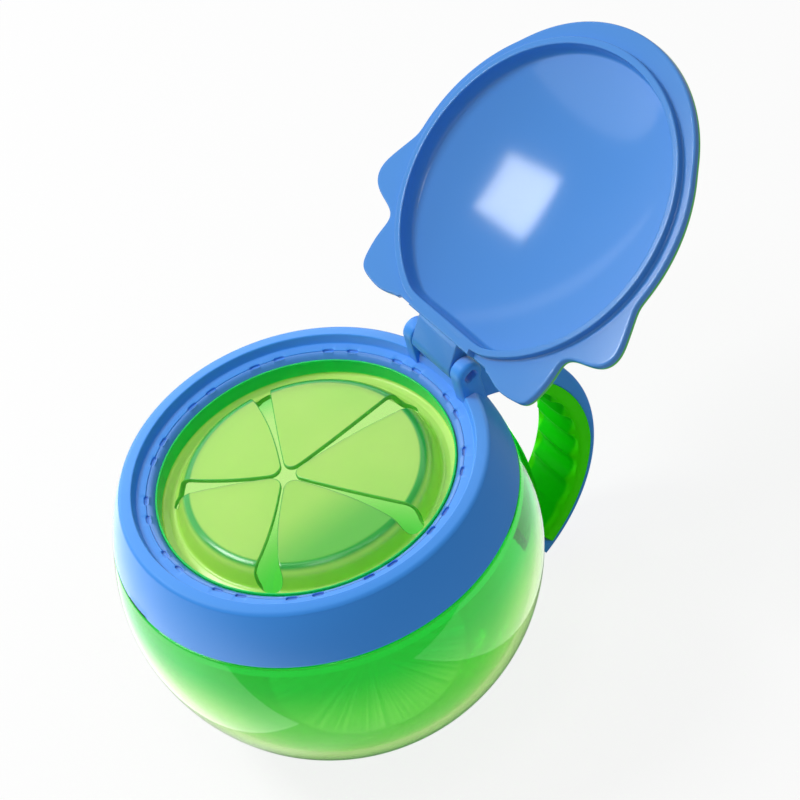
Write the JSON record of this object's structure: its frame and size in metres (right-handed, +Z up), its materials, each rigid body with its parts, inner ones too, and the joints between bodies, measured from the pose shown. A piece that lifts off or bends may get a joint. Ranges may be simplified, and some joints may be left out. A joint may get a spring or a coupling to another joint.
{
  "type": "toddler snack container",
  "caption": "Round clear snack cup with a press-on collar, a soft slit membrane for a small hand, a hinged domed lid with a pointed edge and an open C-shaped ribbed handle.",
  "frame": {"origin": "middle of the flat base, at the height of the table", "axes": "+Z up; +Y towards the back, where the lid's hinge and the handle are; +X to the right seen from the front, along the hinge axis"},
  "size_m": [0.095, 0.1551, 0.1178],
  "materials": {
    "clear_green": "polished, see-through",
    "blue": "smooth satin",
    "violet_blue": "smooth satin",
    "soft_lime": "soft, smooth and see-through",
    "pin_blue": "smooth satin",
    "cover_green": "smooth satin",
    "grip_green": "soft matte grip"
  },
  "bodies": {
    "bowl": {"bowl": "clear_green"},
    "collar": {"collar": "blue", "flap_retainer": "violet_blue", "flap_ring": "soft_lime", "hinge_pin": "pin_blue", "handle_spine": "blue", "handle_grip": "grip_green"},
    "lid": {"lid_shell": "blue", "lid_cover": "cover_green"},
    "flap_1": {"flap_1": "soft_lime"},
    "flap_2": {"flap_2": "soft_lime"},
    "flap_3": {"flap_3": "soft_lime"},
    "flap_4": {"flap_4": "soft_lime"},
    "flap_5": {"flap_5": "soft_lime"}
  },
  "joints": [
    {"name": "collar_lift", "type": "slide", "parent": "bowl", "child": "collar", "axis": [0, 0, 1], "range_m": [0, 0.01]},
    {"name": "lid_hinge", "type": "hinge", "parent": "collar", "child": "lid", "pos_m": [0, 0.0393, 0.0728], "axis": [1, 0, 0], "range_deg": [0, 149]},
    {"name": "flap_1_bend", "type": "hinge", "parent": "collar", "child": "flap_1", "pos_m": [-0.01357, 0.01737, 0.0656], "axis": [0.788, 0.6157, 0], "range_deg": [-35, 65], "stiffness_Nm_per_rad": 0.008},
    {"name": "flap_2_bend", "type": "hinge", "parent": "collar", "child": "flap_2", "pos_m": [-0.02071, -0.00754, 0.0656], "axis": [-0.342, 0.9397, 0], "range_deg": [-35, 65], "stiffness_Nm_per_rad": 0.008},
    {"name": "flap_3_bend", "type": "hinge", "parent": "collar", "child": "flap_3", "pos_m": [0.00077, -0.02203, 0.0656], "axis": [-0.9994, -0.0349, 0], "range_deg": [-35, 65], "stiffness_Nm_per_rad": 0.008},
    {"name": "flap_4_bend", "type": "hinge", "parent": "collar", "child": "flap_4", "pos_m": [0.02119, -0.00607, 0.0656], "axis": [-0.2756, -0.9613, 0], "range_deg": [-35, 65], "stiffness_Nm_per_rad": 0.008},
    {"name": "flap_5_bend", "type": "hinge", "parent": "collar", "child": "flap_5", "pos_m": [0.01232, 0.01827, 0.0656], "axis": [0.829, -0.5592, 0], "range_deg": [-35, 65], "stiffness_Nm_per_rad": 0.008}
  ]
}
